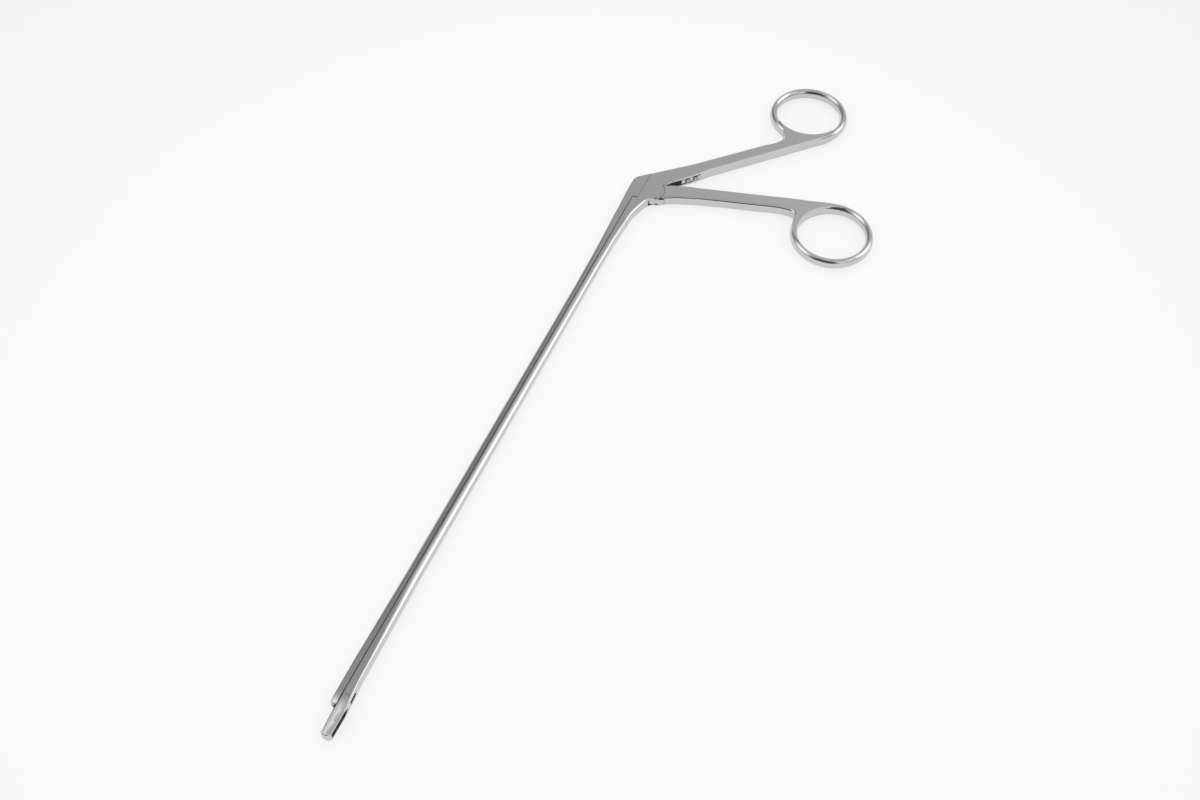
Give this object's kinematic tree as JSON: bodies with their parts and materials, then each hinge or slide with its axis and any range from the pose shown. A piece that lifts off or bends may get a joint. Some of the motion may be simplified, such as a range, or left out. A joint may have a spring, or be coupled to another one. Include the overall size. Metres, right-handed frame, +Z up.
{
  "type": "biopsy forceps",
  "caption": "Ring-handled biopsy forceps in steel with a long straight shaft, a sliding upper bar and a small basket jaw with a window.",
  "frame": {"origin": "on the handle pivot's axis, at the side face that the instrument lies on", "axes": "+X along the shaft to the jaws' tip, +Y from the shaft to the finger rings, +Z up through the thickness"},
  "size_m": [0.342, 0.101, 0.0046],
  "materials": {
    "satin_steel": "satin",
    "handle_steel": "satin",
    "slide_steel": "satin",
    "jaw_steel": "satin",
    "pin_steel": "satin",
    "spring_steel": "satin",
    "screw_steel": "satin"
  },
  "bodies": {
    "frame": {"fixed_frame": "satin_steel", "handle_pivot_pin": "pin_steel", "jaw_pivot_pin": "pin_steel", "leaf_spring": "spring_steel", "spring_screws": "screw_steel"},
    "handle": {"moving_handle": "handle_steel"},
    "slide": {"slide_bar": "slide_steel", "slide_drive_pin": "pin_steel"},
    "jaw": {"upper_jaw": "jaw_steel", "jaw_drive_pin": "pin_steel"}
  },
  "joints": [
    {"name": "handle_hinge", "type": "hinge", "parent": "frame", "child": "handle", "pos_m": [0, 0, 0.0023], "axis": [0, 0, -1], "range_deg": [-3, 21]},
    {"name": "slide_travel", "type": "slide", "parent": "frame", "child": "slide", "axis": [1, 0, 0], "range_m": [-0.0022, 0.0004]},
    {"name": "jaw_hinge", "type": "hinge", "parent": "frame", "child": "jaw", "pos_m": [0.2402, -0.0043, 0.0023], "axis": [0, 0, -1], "range_deg": [-7.5, 48.5]}
  ],
  "couplings": [
    {"joint": "slide_travel", "follows": "handle_hinge", "m_per_rad": -0.0057036},
    {"joint": "jaw_hinge", "follows": "handle_hinge", "ratio": 2.2793}
  ]
}
